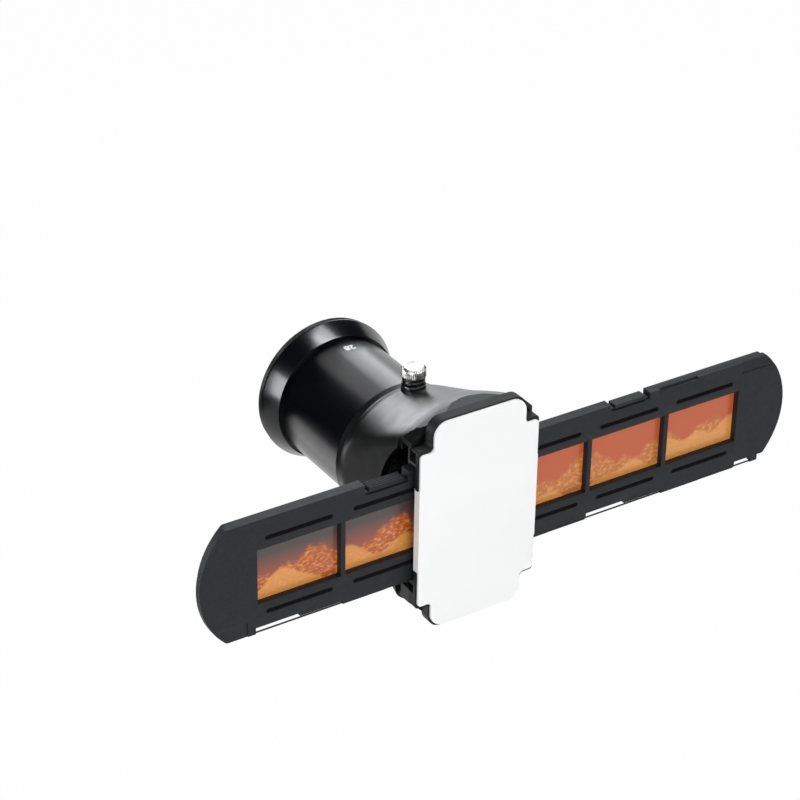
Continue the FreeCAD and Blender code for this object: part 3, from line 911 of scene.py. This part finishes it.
class DUPLICATOR_OT_gate(bpy.types.Operator):
    """Finish the gate frame and the opal diffuser in front of it"""

    bl_idname = "duplicator.gate"
    bl_label = "Gate frame and diffuser"

    def execute(self, context):
        gate = moulded("gate_frame_moulded", "gate_frame", sizes().moulded_edge * 0.4)
        mount(gate, "hood", "frame_plastic", gate_plastic(), "gate_frame")
        plate = moulded("diffuser_plate", "diffuser", sizes().moulded_edge)
        mount(plate, "hood", "opal", opal_plastic(), "diffuser")
        return {"FINISHED"}


class DUPLICATOR_OT_gate_fittings(bpy.types.Operator):
    """Give the screws, rails, springs and rear plate of the gate their finishes"""

    bl_idname = "duplicator.gate_fittings"
    bl_label = "Gate fittings"

    def execute(self, context):
        for node in ("guide_rail_upper", "guide_rail_lower"):
            finish_node(node, rail_plastic())
        for node in ("pressure_spring_upper", "pressure_spring_lower"):
            finish_node(node, spring_steel())
        for node in ("frame_screws", "aperture_screws"):
            finish_node(node, black_steel())
        finish_node("aperture_plate", matt_paint())
        finish_node("friction_sleeve", rail_plastic())
        finish_node("retaining_ring", anodised())
        return {"FINISHED"}


class DUPLICATOR_OT_holder(bpy.types.Operator):
    """Finish both leaves of the film holder, the hinge pin and the catches"""

    bl_idname = "duplicator.holder"
    bl_label = "Film holder"

    def execute(self, context):
        for name, node in (("holder_front", "holder_front_leaf"),
                           ("holder_rear", "holder_rear_leaf"),
                           ("catch_left", "latch_left"), ("catch_right", "latch_right")):
            leaf = moulded(name, node, sizes().holder_edge)
            mount(leaf, "holder", "holder_plastic", holder_plastic(), node)
        finish_node("hinge_pin", black_steel())
        return {"FINISHED"}


class DUPLICATOR_OT_film(bpy.types.Operator):
    """Punch one pitch of film and repeat it along the strip"""

    bl_idname = "duplicator.film"
    bl_label = "Film strip"

    def execute(self, context):
        width, thickness = 35.0, 0.2
        hole_width, hole_height, row = 2.79, 1.98, 14.1
        leaf, play = 2.8, 0.23
        start = STRIP_LEFT + PERFORATION_PITCH / 2
        back = FILM_FACE + leaf + play
        clear()
        bpy.ops.mesh.primitive_plane_add(size=1.0, rotation=(math.pi / 2, 0, 0))
        film = new_piece("film_strip_punched")
        film.scale = (PERFORATION_PITCH * MM, width * MM, 1.0)
        film.location = (start * MM, back * MM, 0)
        settle(film)
        cuts = [((start + side * hole_width / 2, 0), (1, 0, 0)) for side in (-1, 1)]
        cuts += [((0, centre + side * hole_height / 2), (0, 0, 1))
                 for centre in (-row, row) for side in (-1, 1)]
        for (x, z), normal in cuts:
            edit_all(film)
            bpy.ops.mesh.bisect(plane_co=(x * MM, back * MM, z * MM), plane_no=normal)
        pick(film, lambda c: abs(c.x / MM - start) < 0.1 and abs(abs(c.z / MM) - row) < 0.1)
        bpy.ops.mesh.delete(type="FACE")
        clear()
        modify(film, "ARRAY", count=sizes().perforations, use_relative_offset=False,
               use_constant_offset=True, constant_offset_displace=(PERFORATION_PITCH * MM, 0, 0),
               use_merge_vertices=True, merge_threshold=1e-6)
        modify(film, "SOLIDIFY", thickness=thickness * MM, offset=1.0)
        outwards(film)
        mount(film, "holder", "film", film_stock(), "film_strip")
        return {"FINISHED"}


class DUPLICATOR_OT_lock_screw(bpy.types.Operator):
    """Turn the bush, stud and collar, and knurl the head of the lock screw"""

    bl_idname = "duplicator.lock_screw"
    bl_label = "Lock screw"

    def execute(self, context):
        edge = sizes().turned_edge
        crest, root, pitch, turns = 2.0, 1.78, 0.7, 7
        stud = [(0.6, 28.25), (1.0, 28.35), (1.0, 29.5), (crest, 29.9)]
        for turn in range(turns):
            at = 30.2 + turn * pitch
            stud += [(crest, at), (root, at + 0.3), (crest, at + 0.6)]
        stud += [(crest, 40.5), (0.6, 40.5)]
        piece = turned("screw_stud_turned", stud, 48, edge * 0.3, SCREW_Y)
        mount(piece, "lock_screw", "brass", brass(), "screw_stud")
        bush = [(2.05, 31.3), (3.2, 31.3), (3.2, 33.4), (4.9, 33.4), (4.9, 34.95), (4.5, 35.4),
                (2.05, 35.4)]
        piece = turned("screw_bush_turned", bush, 96, edge, SCREW_Y)
        mount(piece, "hood", "collar_black", black_gloss(), "screw_bush")
        collar = [(2.0, 35.7), (4.2, 35.7), (4.6, 36.1), (4.6, 36.9), (4.35, 37.05), (4.35, 37.25),
                  (4.6, 37.4), (4.6, 38.7), (2.0, 38.7)]
        piece = turned("screw_collar_turned", collar, 96, edge, SCREW_Y)
        mount(piece, "lock_screw", "collar_black", black_gloss(), "screw_collar")
        self.knurled_head()
        finish_node("pressure_pad", pad_plastic())
        return {"FINISHED"}

    def knurled_head(self):
        """Ridged barrel with a chamfered crown and a shallow dish."""
        ridges = sizes().knob_ridges
        radius = 4.95
        bottom, shoulder, top = 38.7, 41.75, 42.6
        valley, ledge, inset, dish = 0.952, 0.12, 0.4, 0.08
        centre = Vector((0, SCREW_Y * MM, 0))
        clear()
        bpy.ops.mesh.primitive_cylinder_add(
            vertices=2 * ridges, radius=radius * MM, depth=(shoulder - bottom) * MM,
            location=centre + Vector((0, 0, (bottom + shoulder) / 2 * MM)))
        head = new_piece("screw_head_knurled")
        settle(head)
        step = math.pi / ridges

        def in_valley(point):
            turn = math.atan2(point.x, point.y - centre.y) / step
            return round(turn) % 2 == 1

        pick(head, in_valley, "VERT")
        bpy.ops.transform.resize(value=(valley, valley, 1), center_override=centre)
        pick(head, lambda c: abs(c.z - shoulder * MM) < 1e-6)
        bpy.ops.mesh.extrude_region_move(TRANSFORM_OT_translate={"value": (0, 0, ledge * MM)})
        bpy.ops.transform.resize(value=(0.95, 0.95, 1), center_override=centre)
        bpy.ops.mesh.extrude_region_move(
            TRANSFORM_OT_translate={"value": (0, 0, (top - shoulder - ledge) * MM)})
        bpy.ops.transform.resize(value=(0.84, 0.84, 1), center_override=centre)
        bpy.ops.mesh.inset(thickness=inset * MM)
        bpy.ops.transform.translate(value=(0, 0, -dish * MM))
        pick(head, lambda c: abs(c.z - bottom * MM) < 1e-6)
        bpy.ops.mesh.inset(thickness=inset * MM)
        clear()
        break_edges(head, 0.05 * MM)
        mount(head, "lock_screw", "nickel", nickel(), "screw_head")


# ---- stage ------------------------------------------------------------------------
class DUPLICATOR_OT_stage(bpy.types.Operator):
    """Set the floor, the studio light and the camera"""

    bl_idname = "duplicator.stage"
    bl_label = "Stage"

    def execute(self, context):
        self.world()
        self.floor()
        for name, place, size, power in LAMPS:
            self.lamp(name, place, size, power)
        self.cards()
        self.camera()
        context.scene.view_settings.view_transform = "Standard"
        return {"FINISHED"}

    def seen_rays(self, tree):
        """One for camera, glossy and transmission rays."""
        path = tree.nodes.new("ShaderNodeLightPath")
        seen = path.outputs["Is Camera Ray"]
        for ray in ("Is Glossy Ray", "Is Transmission Ray"):
            larger = tree.nodes.new("ShaderNodeMath")
            larger.operation = "MAXIMUM"
            tree.links.new(seen, larger.inputs[0])
            tree.links.new(path.outputs[ray], larger.inputs[1])
            seen = larger.outputs["Value"]
        return seen

    def world(self):
        """World that lights the object a little and is seen as white."""
        daylight = 0.4
        world = bpy.data.worlds.new("studio")
        bpy.context.scene.world = world
        world.use_nodes = True
        tree = world.node_tree
        lit = tree.nodes["Background"]
        lit.inputs["Color"].default_value = (1, 1, 1, 1)
        lit.inputs["Strength"].default_value = daylight
        seen = tree.nodes.new("ShaderNodeBackground")
        seen.inputs["Color"].default_value = (1, 1, 1, 1)
        seen.inputs["Strength"].default_value = 1.0
        mix = tree.nodes.new("ShaderNodeMixShader")
        tree.links.new(self.seen_rays(tree), mix.inputs["Fac"])
        tree.links.new(lit.outputs["Background"], mix.inputs[1])
        tree.links.new(seen.outputs["Background"], mix.inputs[2])
        tree.links.new(mix.outputs["Shader"], tree.nodes["World Output"].inputs["Surface"])

    def floor(self):
        """Pale floor that is seen as nearly white and keeps the object's shadow."""
        shown_white = 0.97
        low = CAD_BOX[0].z - sizes().floor_drop
        clear()
        bpy.ops.mesh.primitive_plane_add(size=6.0, location=(0, 0, low))
        floor = new_piece("studio_floor")
        settle(floor)
        finish = Finish("pale_floor", (0.9, 0.9, 0.9), 0.9)
        tree = finish.material.node_tree
        white = tree.nodes.new("ShaderNodeEmission")
        white.inputs["Color"].default_value = (1, 1, 1, 1)
        mix = tree.nodes.new("ShaderNodeMixShader")
        share = tree.nodes.new("ShaderNodeMath")
        share.operation = "MULTIPLY"
        share.inputs[1].default_value = shown_white
        tree.links.new(self.seen_rays(tree), share.inputs[0])
        tree.links.new(share.outputs["Value"], mix.inputs["Fac"])
        tree.links.new(finish.shader.outputs["BSDF"], mix.inputs[1])
        tree.links.new(white.outputs["Emission"], mix.inputs[2])
        tree.links.new(mix.outputs["Shader"], tree.nodes["Material Output"].inputs["Surface"])
        floor.data.materials.append(finish.material)

    def lamp(self, name, place, size, power):
        """Softbox that faces the object."""
        light = bpy.data.lights.new(name, "AREA")
        light.shape = "RECTANGLE"
        light.size, light.size_y = size
        light.energy = power
        box = bpy.data.objects.new(name, light)
        bpy.context.scene.collection.objects.link(box)
        box.location = place
        facing = Vector(MIDDLE) - Vector(place)
        box.rotation_euler = facing.to_track_quat("-Z", "Y").to_euler()

    def card(self, name, place, towards, size, glow=None):
        """Card that only reflections see: white and lit, or black."""
        turn = (Vector(towards) - Vector(place)).to_track_quat("Z", "Y").to_euler()
        clear()
        bpy.ops.mesh.primitive_plane_add(size=1.0, location=place, rotation=turn)
        card = new_piece(name)
        card.scale = (*size, 1.0)
        settle(card)
        card.visible_camera = False
        card.visible_diffuse = False
        card.visible_shadow = False
        tint = (0.96, 0.985, 1.0, 1)
        if glow is None:
            card.data.materials.append(matt_paint())
        else:
            lit = bpy.data.materials.new(name)
            lit.use_nodes = True
            shader = lit.node_tree.nodes["Principled BSDF"]
            shader.inputs["Base Color"].default_value = (0, 0, 0, 1)
            shader.inputs["Emission Color"].default_value = tint
            shader.inputs["Emission Strength"].default_value = glow
            card.data.materials.append(lit)

    def cards(self):
        """Lit cards and black ones round the object, and one that lies on the floor."""
        for name, place, towards, size, glow in CARDS:
            self.card(name, place, towards, size, glow)
        for name, place, towards, size in FLAGS:
            self.card(name, place, towards, size)
        low = CAD_BOX[0].z - sizes().floor_drop + 2 * MM
        self.card("flag_floor", (-1.26, 0.96, low), (-1.26, 0.96, 1.0), (2.0, 1.32))

    def camera(self):
        """Camera with a long lens, left of the gate and above it."""
        place = (-0.472, -0.7837, 0.5277)
        azimuth, elevation, roll = map(math.radians, (-32.98, 30.23, 0.92))
        data = bpy.data.cameras.new("studio_camera")
        data.sensor_width = 36.0
        data.lens = 114.14
        camera = bpy.data.objects.new("studio_camera", data)
        bpy.context.scene.collection.objects.link(camera)
        back = Vector((math.sin(azimuth) * math.cos(elevation),
                       -math.cos(azimuth) * math.cos(elevation), math.sin(elevation)))
        level = (-back).cross(Vector((0, 0, 1))).normalized()
        upward = level.cross(-back)
        right = level * math.cos(roll) + upward * math.sin(roll)
        up = upward * math.cos(roll) - level * math.sin(roll)
        turn = Matrix((right, up, back)).transposed()
        camera.matrix_world = Matrix.Translation(place) @ turn.to_4x4()
        data.clip_start = 0.01
        data.clip_end = 20.0
        bpy.context.scene.camera = camera


class DUPLICATOR_PT_panel(bpy.types.Panel):
    """Sidebar panel with the duplicator's settings and pieces"""

    bl_idname = "DUPLICATOR_PT_panel"
    bl_label = "Slide Duplicator"
    bl_space_type = "VIEW_3D"
    bl_region_type = "UI"
    bl_category = "Duplicator"

    def draw(self, context):
        for group, kind in ((context.scene.duplicator_sizes, DuplicatorSizes),
                            (context.scene.duplicator_colours, DuplicatorColours)):
            column = self.layout.column()
            for setting in kind.__annotations__:
                column.prop(group, setting)
        column = self.layout.column()
        for operator in PIECES:
            column.operator(operator.bl_idname)


PIECES = (
    DUPLICATOR_OT_adapter_ring,
    DUPLICATOR_OT_drawtube,
    DUPLICATOR_OT_scale_number,
    DUPLICATOR_OT_socket_ring,
    DUPLICATOR_OT_hood,
    DUPLICATOR_OT_gate,
    DUPLICATOR_OT_gate_fittings,
    DUPLICATOR_OT_holder,
    DUPLICATOR_OT_film,
    DUPLICATOR_OT_lock_screw,
    DUPLICATOR_OT_stage,
)
CLASSES = (DuplicatorSizes, DuplicatorColours) + PIECES + (DUPLICATOR_PT_panel,)


def register():
    for item in CLASSES:
        bpy.utils.register_class(item)
    bpy.types.Scene.duplicator_sizes = PointerProperty(type=DuplicatorSizes)
    bpy.types.Scene.duplicator_colours = PointerProperty(type=DuplicatorColours)


def unregister():
    del bpy.types.Scene.duplicator_colours
    del bpy.types.Scene.duplicator_sizes
    for item in reversed(CLASSES):
        bpy.utils.unregister_class(item)


def main():
    register()
    bpy.ops.duplicator.adapter_ring()
    bpy.ops.duplicator.drawtube()
    bpy.ops.duplicator.scale_number()
    bpy.ops.duplicator.socket_ring()
    bpy.ops.duplicator.hood()
    bpy.ops.duplicator.gate()
    bpy.ops.duplicator.gate_fittings()
    bpy.ops.duplicator.holder()
    bpy.ops.duplicator.film()
    bpy.ops.duplicator.lock_screw()
    bpy.ops.duplicator.stage()


if __name__ == "__main__":
    main()
